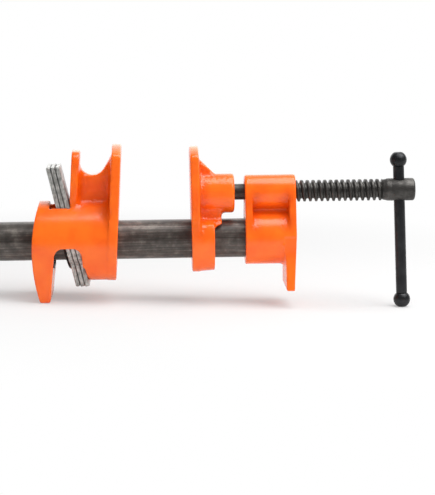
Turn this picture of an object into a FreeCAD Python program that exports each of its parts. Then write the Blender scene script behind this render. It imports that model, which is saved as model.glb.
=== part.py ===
import FreeCAD, Part
import Sketcher
import os
import re
from math import cos, radians, sin, sqrt, tan

# Woodworking pipe clamp on 3/4 inch black pipe. Millimetres and degrees.
# The frame: origin at the centre of the pipe's free end, +X along the pipe towards the handle, +Z up the jaws.

vector = FreeCAD.Vector

shared = {
    "fit_gap": 0.05,  # radial, close fits that stay put
    "slide_gap": 0.4,  # radial, castings that slide on the pipe
    "seat_gap": 0.25,  # between faces of two pieces that rest on each other
    "overrun": 2.0,  # cuts run past the metal by this
    "rim_round": 0.9,  # edges of the jaw faces
    "screw_axis_height": 31.75,  # screw axis above the pipe axis
}

pipe = {
    "pipe_outer": 26.67,  # diameter, 3/4 inch nominal pipe
    "pipe_wall": 2.87,
    "pipe_length": 304.8,  # 12 inches
    "pipe_thread_length": 20.0,  # taper thread at both ends, plain here
    "pipe_thread_drop": 0.235,  # how far its crests lie under the outer surface
}

tail = {
    "jaw_opening": 50.4,  # between the two jaw faces, at the pipe axis
    "tail_lean": 3.1,  # the face leans towards the other jaw
    "barrel_radius": 27.4,
    "rear_bulge_radius": 120.0,  # rear side, seen from the side of the clamp
    "rear_bulge_drop": 6.0,  # its rearmost point lies this far under the pipe axis
    "rear_bulge_reach": 36.0,  # half the height of that arc
    "tail_plate_thickness": 6.3,
    "tail_base_proud": 0.6,  # jaw plate's round foot beyond the barrel
    "tail_flank_lean": 5.0,
    "tail_shoulder": 60.0,
    "tail_crown": 65.5,
    "shoulder_round": 4.5,
    "leg_depth": 39.5,  # under the pipe axis
    "leg_foot_half_width": 23.0,
    "leg_foot_length": 11.5,  # arch's foot to the rearmost point of the barrel
    "foot_round": 1.0,
    "leg_root": 6.0,  # the leg leaves the barrel's round this far under its middle, in degrees
    "arch_rear": 42.9,  # leg's inner side at the top of the arch, behind the jaw face
    "arch_front": 24.2,
    "arch_foot_front": 21.9,
    "arch_drop": 2.2,  # top of the side arch under the pipe axis
    "arch_round": 6.2,
    "chamber_rear": 44.8,  # spring's seat, behind the jaw face
    "rear_wall": 13.0,  # from the spring's seat to the rearmost point of the barrel
    "chamber_half_width": 22.0,
    "chamber_depth": 13.4,  # straight stretch from the spring's seat towards the jaw
    "slope_depth": 12.5,  # the stretch beside the plates, square to them
    "slot_rear": 45.9,
    "slot_side_gap": 0.5,
    "pillar_lean": 3.5,
    "pillar_thickness": 5.4,
    "pillar_top": 62.0,
    "pillar_half": 12.7,
    "pillar_round": 8.0,
    "web_half": 5.0,
    "web_fillet": 2.5,
    "web_root": 18.0,  # the web starts this high, inside the barrel's wall
    "web_front_top": 61.6,
    "saddle_height": 45.2,
    "saddle_middle": 16.4,  # lowest point of the saddle, behind the jaw face
    "saddle_radius": 8.9,
    "saddle_slope": 28.0,  # the saddle's arc stops this much short of upright at the jaw
}

clutch = {
    "plate_thickness": 3.0,
    "plate_gap": 0.1,
    "plate_tilt": 13.0,
    "plate_hole_slack": 0.97,  # radial, which lets the plates tilt on the pipe
    "plate_web": 6.2,  # metal beside the hole
    "plate_tab_half_width": 12.75,
    "plate_top_reach": 53.1,  # from the hole's centre up the plate
    "plate_bottom_reach": 31.0,
    "plate_corner": 1.5,
    "plates_station": 31.2,  # middle plate's hole, behind the jaw face
    "fulcrum_height": 26.0,
    "spring_wire": 1.5,
    "spring_slack": 4.6,  # from the pipe to the coil
    "spring_seat_gap": 0.15,
}

jaw = {
    "jaw_to_head": 7.1,  # between the screw boss and the head
    "jaw_lean": 0.65,
    "jaw_plate_thickness": 6.0,
    "jaw_base_radius": 22.9,
    "jaw_flank_lean": 1.4,
    "jaw_shoulder": 58.6,
    "jaw_crown": 63.5,
    "jaw_ring_length": 15.6,  # from the face
    "jaw_ring_front_radius": 22.7,
    "jaw_ring_back_radius": 21.9,
    "jaw_ledge_foot": 10.0,  # its sloping ledges beside the neck, above the pipe axis
    "jaw_ledge_top": 14.2,
    "boss_length": 29.6,  # from the face
    "boss_radius": 12.7,
    "boss_depth": 1.5,  # the boss is this much taller than wide, downwards
    "boss_round": 1.6,
    "neck_half": 9.0,
    "neck_length": 20.7,  # from the face
    "neck_low": 8.6,  # above the pipe axis
    "neck_radius": 17.3,
    "neck_slope": 28.0,  # of its under side, behind the ring
    "gusset_half": 4.0,
    "gusset_top": 54.8,
    "gusset_end": 16.4,  # from the face
    "tip_bore_depth": 19.0,
    "pin_radius": 2.0,
    "pin_length": 15.0,
    "pin_gap": 0.3,  # between the pin and the bottom of the screw's groove
    "pin_from_end": 8.0,  # pin's axis, in from the boss's end
}

head = {
    "head_length": 34.8,  # at its top
    "head_back_lean": 1.4,  # its back face leans in towards the foot
    "pipe_in_head": 31.7,
    "head_barrel_radius": 18.2,
    "head_boss_radius": 11.6,
    "head_front_rim": 5.0,
    "head_back_rim": 4.8,
    "waist_half": 4.0,
    "waist_fillet": 2.0,
    "foot_thickness": 7.5,  # before the lean is cut off it
    "foot_fillet": 3.8,
    "foot_depth": 34.3,  # under the pipe axis
    "foot_half_width": 22.5,
    "foot_shoulder": 8.0,  # the foot is full width from here down
}

screw = {
    "thread_radius": 7.4,
    "neck_shaft_radius": 5.45,
    "screw_neck_length": 26.0,  # tip to the start of the thread
    "groove_radius": 3.85,
    "groove_width": 5.0,
    "tip_chamfer": 0.8,
    "thread_length": 97.5,
    "hub_radius": 7.75,
    "hub_length": 20.9,
    "hub_round": 1.6,
    "hub_chamfer": 0.8,
    "handle_hole_station": 8.9,  # from the hub's thread side
    "handle_hole_gap": 0.45,  # radial, in which the handle leans
}

handle = {
    "rod_radius": 3.8,
    "handle_lean": 1.6,  # the rod leans in its hole, top towards the jaws
    "ball_radius": 5.8,
    "upper_ball_reach": 20.5,  # ball centre, from the screw axis along the rod
    "lower_ball_reach": 76.6,
    "ball_seat": 4.2,  # flat where the ball meets the rod's shoulder, from the ball's centre
    "ball_flat": 5.1,  # flat on its outer end
    "tenon_radius": 2.2,
}

sections = (shared, pipe, tail, clutch, jaw, head, screw, handle)
sizes = {alias: value for section in sections for alias, value in section.items()}

document = FreeCAD.newDocument("PipeClamp")
sheet = document.addObject("Spreadsheet::Sheet", "Sizes")
for row, (alias, value) in enumerate(sizes.items(), start=1):
    sheet.set(f"A{row}", alias)
    sheet.set(f"B{row}", str(value))
    sheet.setAlias(f"B{row}", alias)
document.recompute()


def bound(expression):
    """The expression with each size's name pointed at its cell."""
    return re.sub(r"[a-z_]+", lambda w: f"Sizes.{w[0]}" if w[0] in sizes else w[0], expression)


def number(expression):
    """What the expression comes to with the sheet's present values."""
    return float(sheet.evalExpression(bound(expression)))


def bind(thing, name, expression):
    thing.setExpression(name, bound(expression))


def new_body(label, along="0", up="0", turn=None):
    """A body placed along the pipe, raised, and turned about Y."""
    body = document.addObject("PartDesign::Body", label)
    bind(body, "Placement.Base.x", along)
    bind(body, "Placement.Base.z", up)
    if turn:
        body.Placement.Rotation = FreeCAD.Rotation(vector(0, 1, 0), 1)
        bind(body, "Placement.Rotation.Angle", turn)
    return body


def new_sketch(body, name, role, shift="0", along="0", lean=None):
    """A sketch on one of the body's origin planes, shifted along its normal and leaned about its own x."""
    sketch = body.newObject("Sketcher::SketchObject", f"{body.Name}_{name}")
    plane = next(f for f in body.Origin.OriginFeatures if f.Role == role)
    sketch.AttachmentSupport = (plane, [""])
    sketch.MapMode = "FlatFace"
    if lean:
        sketch.AttachmentOffset = FreeCAD.Placement(vector(), FreeCAD.Rotation(vector(1, 0, 0), 1))
        bind(sketch, "AttachmentOffset.Rotation.Angle", lean)
    bind(sketch, "AttachmentOffset.Base.z", shift)
    bind(sketch, "AttachmentOffset.Base.y", along)
    return sketch


def hold_point(sketch, geometry, end, across, up):
    """Holds one end of a curve at a place given by two expressions."""
    for kind, axis, expression in (("DistanceX", -2, across), ("DistanceY", -1, up)):
        if expression == "0":
            sketch.addConstraint(Sketcher.Constraint("PointOnObject", geometry, end, axis))
            continue
        held = Sketcher.Constraint(kind, -1, 1, geometry, end, number(expression))
        index = sketch.addConstraint(held)
        bind(sketch, f"Constraints[{index}]", expression)


def hold_radius(sketch, geometry, expression):
    index = sketch.addConstraint(Sketcher.Constraint("Radius", geometry, number(expression)))
    bind(sketch, f"Constraints[{index}]", expression)


def arc_between(start, end, radius, turn):
    """A short arc from start to end. Turn is 1 where it runs anticlockwise and -1 where clockwise."""
    middle = (start + end) / 2
    chord = end - start
    square = vector(-chord.y, chord.x, 0).normalize()
    rise = sqrt(radius**2 - chord.Length**2 / 4)
    centre = middle + square * rise * turn
    first, last = (start, end) if turn > 0 else (end, start)
    crown = centre - square * radius * turn
    return Part.Arc(first, crown, last)


def draw_outline(sketch, corners):
    """A closed outline. A corner is (across, up), or (across, up, radius, turn) where an arc leaves it."""
    places = [vector(number(c[0]), number(c[1]), 0) for c in corners]
    ends = []
    for i, corner in enumerate(corners):
        start, end = places[i], places[(i + 1) % len(places)]
        if len(corner) == 2:
            curve, leaves, arrives = Part.LineSegment(start, end), 1, 2
        else:
            curve = arc_between(start, end, number(corner[2]), corner[3])
            leaves, arrives = (1, 2) if corner[3] > 0 else (2, 1)
        ends.append((sketch.addGeometry(curve, False), leaves, arrives))
    for i, (geometry, leaves, _) in enumerate(ends):
        before, _, arrives = ends[i - 1]
        sketch.addConstraint(Sketcher.Constraint("Coincident", before, arrives, geometry, leaves))
        hold_point(sketch, geometry, leaves, corners[i][0], corners[i][1])
        if len(corners[i]) > 2:
            hold_radius(sketch, geometry, corners[i][2])


def draw_circle(sketch, radius, across="0", up="0"):
    centre = vector(number(across), number(up), 0)
    circle = Part.Circle(centre, vector(0, 0, 1), number(radius))
    geometry = sketch.addGeometry(circle, False)
    hold_point(sketch, geometry, 3, across, up)
    hold_radius(sketch, geometry, radius)


def add(body, kind, name, sketch):
    feature = body.newObject(f"PartDesign::{kind}", f"{body.Name}_{name}")
    feature.Profile = sketch
    return feature


def volume_of(body):
    document.recompute()
    return body.Shape.Volume


def pad(body, name, sketch, length, both_ways=False, backwards=False):
    feature = add(body, "Pad", name, sketch)
    bind(feature, "Length", length)
    feature.SideType = "Symmetric" if both_ways else "One side"
    feature.Reversed = backwards
    document.recompute()
    return feature


def pocket(body, name, sketch, length=None, both_ways=False, backwards=False):
    """Cuts the sketch's outline to a length, or right through."""
    before = volume_of(body)
    feature = add(body, "Pocket", name, sketch)
    if length:
        bind(feature, "Length", length)
    else:
        feature.Type = "ThroughAll"
    feature.SideType = "Symmetric" if both_ways else "One side"
    feature.Reversed = backwards
    if not volume_of(body) < before:
        raise ValueError(f"{body.Name}: {name} cuts nothing")
    return feature


def turned(body, kind, name, sketch, role="X_Axis"):
    """A revolution or groove about one of the body's own axes."""
    feature = add(body, kind, name, sketch)
    axis = next(f for f in body.Origin.OriginFeatures if f.Role == role)
    feature.ReferenceAxis = (axis, [""])
    feature.Angle = 360
    document.recompute()
    return feature


def rounded(body, name, radius, wanted):
    """Fillets the edges of the body that the test picks out."""
    document.recompute()
    tip = body.Tip
    names = [f"Edge{i}" for i, edge in enumerate(tip.Shape.Edges, start=1) if wanted(edge)]
    if not names:
        raise ValueError(f"{body.Name}: {name} finds no edge")
    feature = body.newObject("PartDesign::Fillet", f"{body.Name}_{name}")
    feature.Base = (tip, names)
    bind(feature, "Radius", radius)
    document.recompute()
    return feature


def near(value, expression, reach=0.01):
    return abs(value - number(expression)) < reach


def draw_jaw_outline(sketch, base_radius, flank_lean, shoulder, crown):
    """A jaw seen from its face: round foot, flanks that lean in, arched top."""
    foot_across = f"{base_radius} * cos({flank_lean})"
    foot_up = f"{base_radius} * sin({flank_lean})"
    half = f"({base_radius} - {shoulder} * sin({flank_lean})) / cos({flank_lean})"
    rise = f"({crown} - {shoulder})"
    arch = f"(({half})^2 + {rise}^2) / (2 * {rise})"
    draw_outline(
        sketch,
        [
            (foot_across, foot_up),
            (half, shoulder, arch, 1),
            (f"-({half})", shoulder),
            (f"-({foot_across})", foot_up, base_radius, 1),
            ("0", f"-({base_radius})", base_radius, 1),
        ],
    )


def on_face(edge, lean, depth="0"):
    """Whether an edge lies in a jaw's leaning face, or in the plane that deep behind it."""
    slope = radians(number(lean))
    return all(near(v.X * cos(slope) - v.Z * sin(slope), depth) for v in edge.Vertexes)


def round_shoulders(body, thickness, shoulder):
    """Rounds a jaw plate's two upper corners."""
    rounded(
        body,
        "shoulders",
        "shoulder_round",
        lambda e: near(e.Length, thickness) and near(e.CenterOfMass.z, shoulder, number(thickness) / 2),
    )


# Where the castings stand along the pipe: the head's front and the jaw faces at the pipe's axis
head_station = "(pipe_length - pipe_in_head)"
jaw_station = f"({head_station} - jaw_to_head - boss_length)"
tail_station = f"({jaw_station} - jaw_opening)"
tail_length = "(chamber_rear + rear_wall)"  # tail's jaw face to its rearmost point


def make_pipe():
    body = new_body("pipe")
    wall = new_sketch(body, "tube_outline", "YZ_Plane")
    draw_circle(wall, "pipe_outer / 2")
    draw_circle(wall, "pipe_outer / 2 - pipe_wall")
    pad(body, "tube", wall, "pipe_length")
    for name, shift in (("free_end", "0"), ("head_end", "pipe_length - pipe_thread_length")):
        ring = new_sketch(body, f"{name}_outline", "YZ_Plane", shift)
        draw_circle(ring, "pipe_outer / 2 + overrun")
        draw_circle(ring, "pipe_outer / 2 - pipe_thread_drop")
        pocket(body, name, ring, "pipe_thread_length", backwards=True)
    return body


# Where the clutch plates stand, in the tail casting's frame
plate_pitch = "(plate_thickness + plate_gap) / cos(plate_tilt)"
front_plate_face = (
    f"(-plates_station + {plate_pitch} + plate_thickness / 2 / cos(plate_tilt)"
    " - fulcrum_height * tan(plate_tilt))"
)
pillar_foot = f"({front_plate_face} + seat_gap)"


def make_tail_casting():
    body = new_body("tail_casting", tail_station)

    leg_front = "(arch_round - arch_rear)"
    leg = new_sketch(body, "leg_outline", "YZ_Plane", f"-{tail_length} - overrun")
    root = ("barrel_radius * cos(leg_root)", "-barrel_radius * sin(leg_root)")
    draw_outline(
        leg,
        [
            (*root, "barrel_radius", 1),
            ("0", "barrel_radius", "barrel_radius", 1),
            (f"-{root[0]}", root[1]),
            ("-leg_foot_half_width", "-leg_depth"),
            ("leg_foot_half_width", "-leg_depth"),
        ],
    )
    pad(body, "leg", leg, f"{tail_length} + overrun + {leg_front}")

    barrel = new_sketch(body, "barrel_outline", "YZ_Plane", leg_front)
    draw_circle(barrel, "barrel_radius")
    pad(body, "barrel", barrel, f"-tail_plate_thickness / 2 - {leg_front}")

    plate = new_sketch(body, "plate_outline", "YZ_Plane", lean="tail_lean")
    draw_jaw_outline(
        plate, "(barrel_radius + tail_base_proud)", "tail_flank_lean", "tail_shoulder", "tail_crown"
    )
    pad(body, "plate", plate, "tail_plate_thickness", backwards=True)
    round_shoulders(body, "tail_plate_thickness", "tail_shoulder")
    rounded(body, "face_rim", "rim_round", lambda e: on_face(e, "tail_lean"))

    pillar = new_sketch(
        body,
        "pillar_outline",
        "YZ_Plane",
        shift=f"{pillar_foot} - fulcrum_height * tan(pillar_lean)",
        lean="pillar_lean",
    )
    corner = ("pillar_half - pillar_round", "pillar_top - pillar_round")
    draw_outline(
        pillar,
        [
            ("pillar_half", "web_root"),
            ("pillar_half", corner[1], "pillar_round", 1),
            (corner[0], "pillar_top"),
            (f"-({corner[0]})", "pillar_top", "pillar_round", 1),
            ("-pillar_half", corner[1]),
            ("-pillar_half", "web_root"),
        ],
    )
    pad(body, "pillar", pillar, "pillar_thickness")

    web = new_sketch(body, "web_outline", "XZ_Plane")
    inside_pillar = "(-saddle_middle - saddle_radius - pillar_thickness / 2)"
    inside_plate = "(-tail_plate_thickness / 4)"
    rise = "saddle_height + saddle_radius"
    draw_outline(
        web,
        [
            (inside_pillar, "web_root"),
            (inside_plate, "web_root"),
            (inside_plate, "web_front_top"),
            (
                "-saddle_middle + saddle_radius * cos(saddle_slope)",
                f"{rise} - saddle_radius * sin(saddle_slope)",
                "saddle_radius",
                -1,
            ),
            ("-saddle_middle", "saddle_height", "saddle_radius", -1),
            ("-saddle_middle - saddle_radius", rise),
            (inside_pillar, "pillar_top - pillar_thickness"),
        ],
    )
    pad(body, "web", web, "web_half * 2", both_ways=True)
    rounded(
        body,
        "web_roots",
        "web_fillet",
        lambda e: near(abs(e.CenterOfMass.y), "web_half")
        and abs(e.Vertexes[0].Z - e.Vertexes[-1].Z) > e.Length * 0.9,
    )

    rear = new_sketch(body, "rear_outline", "XZ_Plane")
    behind = f"(-{tail_length} - overrun * 2)"
    sag = "(rear_bulge_radius - sqrt(rear_bulge_radius^2 - rear_bulge_reach^2))"
    draw_outline(
        rear,
        [
            (f"{sag} - {tail_length}", "rear_bulge_reach - rear_bulge_drop", "rear_bulge_radius", 1),
            (f"{sag} - {tail_length}", "-rear_bulge_reach - rear_bulge_drop"),
            (behind, "-rear_bulge_reach - rear_bulge_drop"),
            (behind, "rear_bulge_reach - rear_bulge_drop"),
        ],
    )
    pocket(body, "rear", rear, both_ways=True)

    arch = new_sketch(body, "arch_outline", "XZ_Plane")
    under = "-(leg_depth + overrun)"
    spring_line = "-(arch_drop + arch_round)"
    draw_outline(
        arch,
        [
            (f"leg_foot_length - {tail_length}", under),
            ("-arch_rear", spring_line, "arch_round", -1),
            ("arch_round - arch_rear", "-arch_drop"),
            ("-arch_front - arch_round", "-arch_drop", "arch_round", -1),
            ("-arch_front", spring_line),
            ("-arch_foot_front", under),
        ],
    )
    pocket(body, "arch", arch, both_ways=True)
    rounded(
        body, "foot", "foot_round", lambda e: all(near(v.Z, "-leg_depth") for v in e.Vertexes)
    )

    chamber = new_sketch(body, "chamber_outline", "YZ_Plane", "-chamber_rear")
    low = "-(leg_depth + overrun)"
    draw_outline(
        chamber,
        [
            ("chamber_half_width", "0", "chamber_half_width", 1),
            ("0", "chamber_half_width", "chamber_half_width", 1),
            ("-chamber_half_width", "0"),
            ("-chamber_half_width", low),
            ("chamber_half_width", low),
        ],
    )
    pocket(body, "chamber", chamber, "chamber_depth", backwards=True)

    slot_half = "(plate_tab_half_width + slot_side_gap)"
    slot_foot = f"sqrt(chamber_half_width^2 - {slot_half}^2)"
    slope = new_sketch(
        body,
        "slope_outline",
        "YZ_Plane",
        shift=f"{pillar_foot} + fulcrum_height * tan(plate_tilt)",
        lean="-plate_tilt",
    )
    draw_outline(
        slope,
        [
            ("chamber_half_width", "0", "chamber_half_width", 1),
            (slot_half, slot_foot),
            (slot_half, "barrel_radius + overrun"),
            (f"-{slot_half}", "barrel_radius + overrun"),
            (f"-{slot_half}", slot_foot, "chamber_half_width", 1),
            ("-chamber_half_width", "0"),
            ("-chamber_half_width", low),
            ("chamber_half_width", low),
        ],
    )
    pocket(body, "slope", slope, "slope_depth")

    slot = new_sketch(body, "slot_outline", "XY_Plane", "chamber_half_width - overrun")
    slot_front = "chamber_depth - chamber_rear - overrun"
    draw_outline(
        slot,
        [
            ("-slot_rear", f"-{slot_half}"),
            (slot_front, f"-{slot_half}"),
            (slot_front, slot_half),
            ("-slot_rear", slot_half),
        ],
    )
    pocket(body, "slot", slot, backwards=True)

    bore = new_sketch(body, "bore_outline", "YZ_Plane")
    draw_circle(bore, "pipe_outer / 2 + slide_gap")
    pocket(body, "bore", bore, both_ways=True)
    return body


def make_clutch_plate(place):
    """Place counts from the spring's side: -1, 0 or 1."""
    body = new_body(
        f"clutch_plate_{place + 2}",
        f"{tail_station} - plates_station + {place} * {plate_pitch}",
        turn="-plate_tilt",
    )
    outline = new_sketch(body, "outline", "YZ_Plane")
    hole_radius = "(pipe_outer / 2 + plate_hole_slack)"
    round_radius = f"({hole_radius} + plate_web)"
    half = "plate_tab_half_width"
    meet = f"sqrt({round_radius}^2 - {half}^2)"
    draw_outline(
        outline,
        [
            (half, f"-{meet}", round_radius, 1),
            (half, meet),
            (half, "plate_top_reach"),
            (f"-{half}", "plate_top_reach"),
            (f"-{half}", meet, round_radius, 1),
            (f"-{half}", f"-{meet}"),
            (f"-{half}", "-plate_bottom_reach"),
            (half, "-plate_bottom_reach"),
        ],
    )
    pad(body, "blank", outline, "plate_thickness", both_ways=True)
    rounded(
        body,
        "corners",
        "plate_corner",
        lambda e: near(abs(e.CenterOfMass.y), half) and near(e.Length, "plate_thickness"),
    )
    hole = new_sketch(body, "hole_outline", "YZ_Plane")
    draw_circle(hole, hole_radius)
    pocket(body, "hole", hole, both_ways=True)
    return body


def tangent_arc(start, direction, end):
    """The arc that leaves start in the given direction and ends at end."""
    chord = end - start
    along = vector(chord).normalize()
    aside = direction - along * direction.dot(along)
    turn = direction.getAngle(along)
    bulge = vector(aside).normalize() * (chord.Length / 2 * tan(turn / 2))
    return Part.Arc(start, (start + end) / 2 + bulge, end)


def joining_arcs(start, leaving, end, arriving):
    """Two arcs that run on from one direction into another."""
    gap = end - start
    square = 2 * (1 - leaving.dot(arriving))
    linear = 2 * gap.dot(leaving + arriving)
    reach = (-linear + sqrt(linear**2 + 4 * square * gap.dot(gap))) / (2 * square)
    middle = (start + end + (leaving - arriving) * reach) / 2
    return [tangent_arc(start, leaving, middle), tangent_arc(end, -arriving, middle)]


def make_clutch_spring():
    """One full coil against the casting, one against the rear plate, joined over the top."""
    wire_radius = number("spring_wire / 2")
    coil_radius = number("pipe_outer / 2 + spring_slack + spring_wire / 2")
    tilt = radians(number("plate_tilt"))
    off_plate = number("plate_thickness / 2 + spring_seat_gap + spring_wire / 2")
    flat = vector(number("-chamber_rear + spring_seat_gap + spring_wire / 2"), 0, 0)
    rear_hole = vector(number(f"-plates_station - {plate_pitch}"), 0, 0)
    leaning = rear_hole - vector(cos(tilt), 0, sin(tilt)) * off_plate

    def on_coil(centre, lean, degrees):
        """A point of a coil whose plane leans, and the direction in which the wire passes it."""
        up = vector(-sin(lean), 0, cos(lean))
        across = vector(0, 1, 0)
        angle = radians(degrees)
        point = centre + (across * cos(angle) + up * sin(angle)) * coil_radius
        return point, up * cos(angle) - across * sin(angle)

    arcs = []
    for centre, lean, first in ((flat, 0, 135), (leaning, tilt, 495)):
        if arcs:
            start, leaving = on_coil(flat, 0, 405)
            end, arriving = on_coil(leaning, tilt, 495)
            arcs += joining_arcs(start, leaving, end, arriving)
        for quarter in range(3):
            stations = [first + 90 * quarter + step for step in (0, 45, 90)]
            arcs.append(Part.Arc(*[on_coil(centre, lean, s)[0] for s in stations]))

    path = Part.Wire(Part.__sortEdges__([arc.toShape() for arc in arcs]))
    start, direction = on_coil(flat, 0, 135)
    profile = Part.Wire([Part.Circle(start, direction, wire_radius).toShape()])
    shape = path.makePipeShell([profile], True, False)

    spring = document.addObject("Part::Feature", "clutch_spring")
    spring.Shape = shape
    spring.Placement = FreeCAD.Placement(vector(number(tail_station), 0, 0), FreeCAD.Rotation())
    bind(spring, "Placement.Base.x", tail_station)

    points = path.discretize(Distance=wire_radius)
    apart = int(coil_radius * 2 / wire_radius)
    least = min(
        (a - b).Length for i, a in enumerate(points) for b in points[i + apart :]
    )
    print("spring's least gap to itself", round(least - wire_radius * 2, 2))
    print("spring's tightest bend", round(min(e.Curve.Radius for e in path.Edges), 2))
    return spring


def make_sliding_jaw():
    body = new_body("sliding_jaw", jaw_station)

    plate = new_sketch(body, "plate_outline", "YZ_Plane", lean="-jaw_lean")
    draw_jaw_outline(plate, "jaw_base_radius", "jaw_flank_lean", "jaw_shoulder", "jaw_crown")
    pad(body, "plate", plate, "jaw_plate_thickness")
    round_shoulders(body, "jaw_plate_thickness", "jaw_shoulder")
    rounded(
        body,
        "rims",
        "rim_round",
        lambda e: on_face(e, "-jaw_lean") or on_face(e, "-jaw_lean", "jaw_plate_thickness"),
    )

    ring = new_sketch(body, "ring_outline", "XZ_Plane")
    inside_plate = "(jaw_plate_thickness / 2)"
    draw_outline(
        ring,
        [
            (inside_plate, "0"),
            ("jaw_ring_length", "0"),
            ("jaw_ring_length", "jaw_ring_back_radius"),
            (inside_plate, "jaw_ring_front_radius"),
        ],
    )
    turned(body, "Revolution", "ring", ring)

    ledges = new_sketch(
        body, "ledges_outline", "YZ_Plane", "jaw_plate_thickness / cos(jaw_lean)", lean="-jaw_lean"
    )
    beyond = "(jaw_ring_front_radius + overrun)"
    for side in ("", "-"):
        draw_outline(
            ledges,
            [
                (f"{side}neck_half", "jaw_ledge_top"),
                (f"{side}{beyond}", "jaw_ledge_foot"),
                (f"{side}{beyond}", beyond),
                (f"{side}neck_half", beyond),
            ],
        )
    pocket(body, "ledges", ledges, "jaw_ring_length", backwards=True)

    boss = new_sketch(body, "boss_outline", "YZ_Plane", inside_plate)
    boss_low = "screw_axis_height - boss_depth"
    draw_outline(
        boss,
        [
            ("boss_radius", "screw_axis_height", "boss_radius", 1),
            ("0", "screw_axis_height + boss_radius", "boss_radius", 1),
            ("-boss_radius", "screw_axis_height"),
            ("-boss_radius", boss_low, "boss_radius", 1),
            ("0", f"{boss_low} - boss_radius", "boss_radius", 1),
            ("boss_radius", boss_low),
        ],
    )
    pad(body, "boss", boss, f"boss_length - {inside_plate}")
    rounded(
        body,
        "boss_end",
        "boss_round",
        lambda e: all(near(v.X, "boss_length") for v in e.Vertexes),
    )

    neck = new_sketch(body, "neck_outline", "YZ_Plane", inside_plate)
    half = "neck_half"
    meet = "sqrt(neck_radius^2 - neck_half^2)"
    flank = "sqrt(neck_radius^2 - neck_low^2)"
    draw_outline(
        neck,
        [
            (flank, "neck_low", "neck_radius", 1),
            (half, meet),
            (half, "screw_axis_height"),
            (f"-{half}", "screw_axis_height"),
            (f"-{half}", meet, "neck_radius", 1),
            (f"-({flank})", "neck_low"),
        ],
    )
    pad(body, "neck", neck, f"neck_length - {inside_plate}")

    slope = new_sketch(body, "neck_slope_outline", "XZ_Plane")
    draw_outline(
        slope,
        [
            ("jaw_ring_length", "neck_low - overrun"),
            ("neck_length + overrun", "neck_low - overrun"),
            (
                "neck_length + overrun",
                "neck_low + (neck_length + overrun - jaw_ring_length) * tan(neck_slope)",
            ),
            ("jaw_ring_length", "neck_low"),
        ],
    )
    pocket(body, "neck_slope", slope, both_ways=True)

    gusset = new_sketch(body, "gusset_outline", "XZ_Plane")
    draw_outline(
        gusset,
        [
            (inside_plate, "screw_axis_height + boss_radius / 2"),
            ("gusset_end", "screw_axis_height + boss_radius / 2"),
            ("gusset_end", "screw_axis_height + boss_radius"),
            ("jaw_plate_thickness", "gusset_top"),
            (inside_plate, "gusset_top"),
        ],
    )
    pad(body, "gusset", gusset, "gusset_half * 2", both_ways=True)

    bore = new_sketch(body, "bore_outline", "YZ_Plane")
    draw_circle(bore, "pipe_outer / 2 + slide_gap")
    pocket(body, "bore", bore, both_ways=True)

    tip_bore = new_sketch(body, "tip_bore_outline", "YZ_Plane", "boss_length")
    draw_circle(tip_bore, "neck_shaft_radius + fit_gap * 2", up="screw_axis_height")
    pocket(body, "tip_bore", tip_bore, "tip_bore_depth")

    pin_hole = new_sketch(body, "pin_hole_outline", "XZ_Plane", pin_start)
    draw_circle(pin_hole, "pin_radius + fit_gap", "boss_length - pin_from_end", pin_height)
    pocket(body, "pin_hole", pin_hole)
    return body


# The pin lies across the screw's groove. It starts this far on the near side of the screw's axis.
pin_rise = "(groove_radius + pin_gap + pin_radius)"
pin_height = f"screw_axis_height + {pin_rise}"
pin_start = f"pin_length + seat_gap - sqrt(boss_radius^2 - {pin_rise}^2)"


def make_screw_retaining_pin():
    body = new_body("screw_retaining_pin", jaw_station)
    outline = new_sketch(body, "outline", "XZ_Plane", f"{pin_start} - seat_gap")
    draw_circle(outline, "pin_radius", "boss_length - pin_from_end", pin_height)
    pad(body, "shank", outline, "pin_length", backwards=True)
    return body


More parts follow.
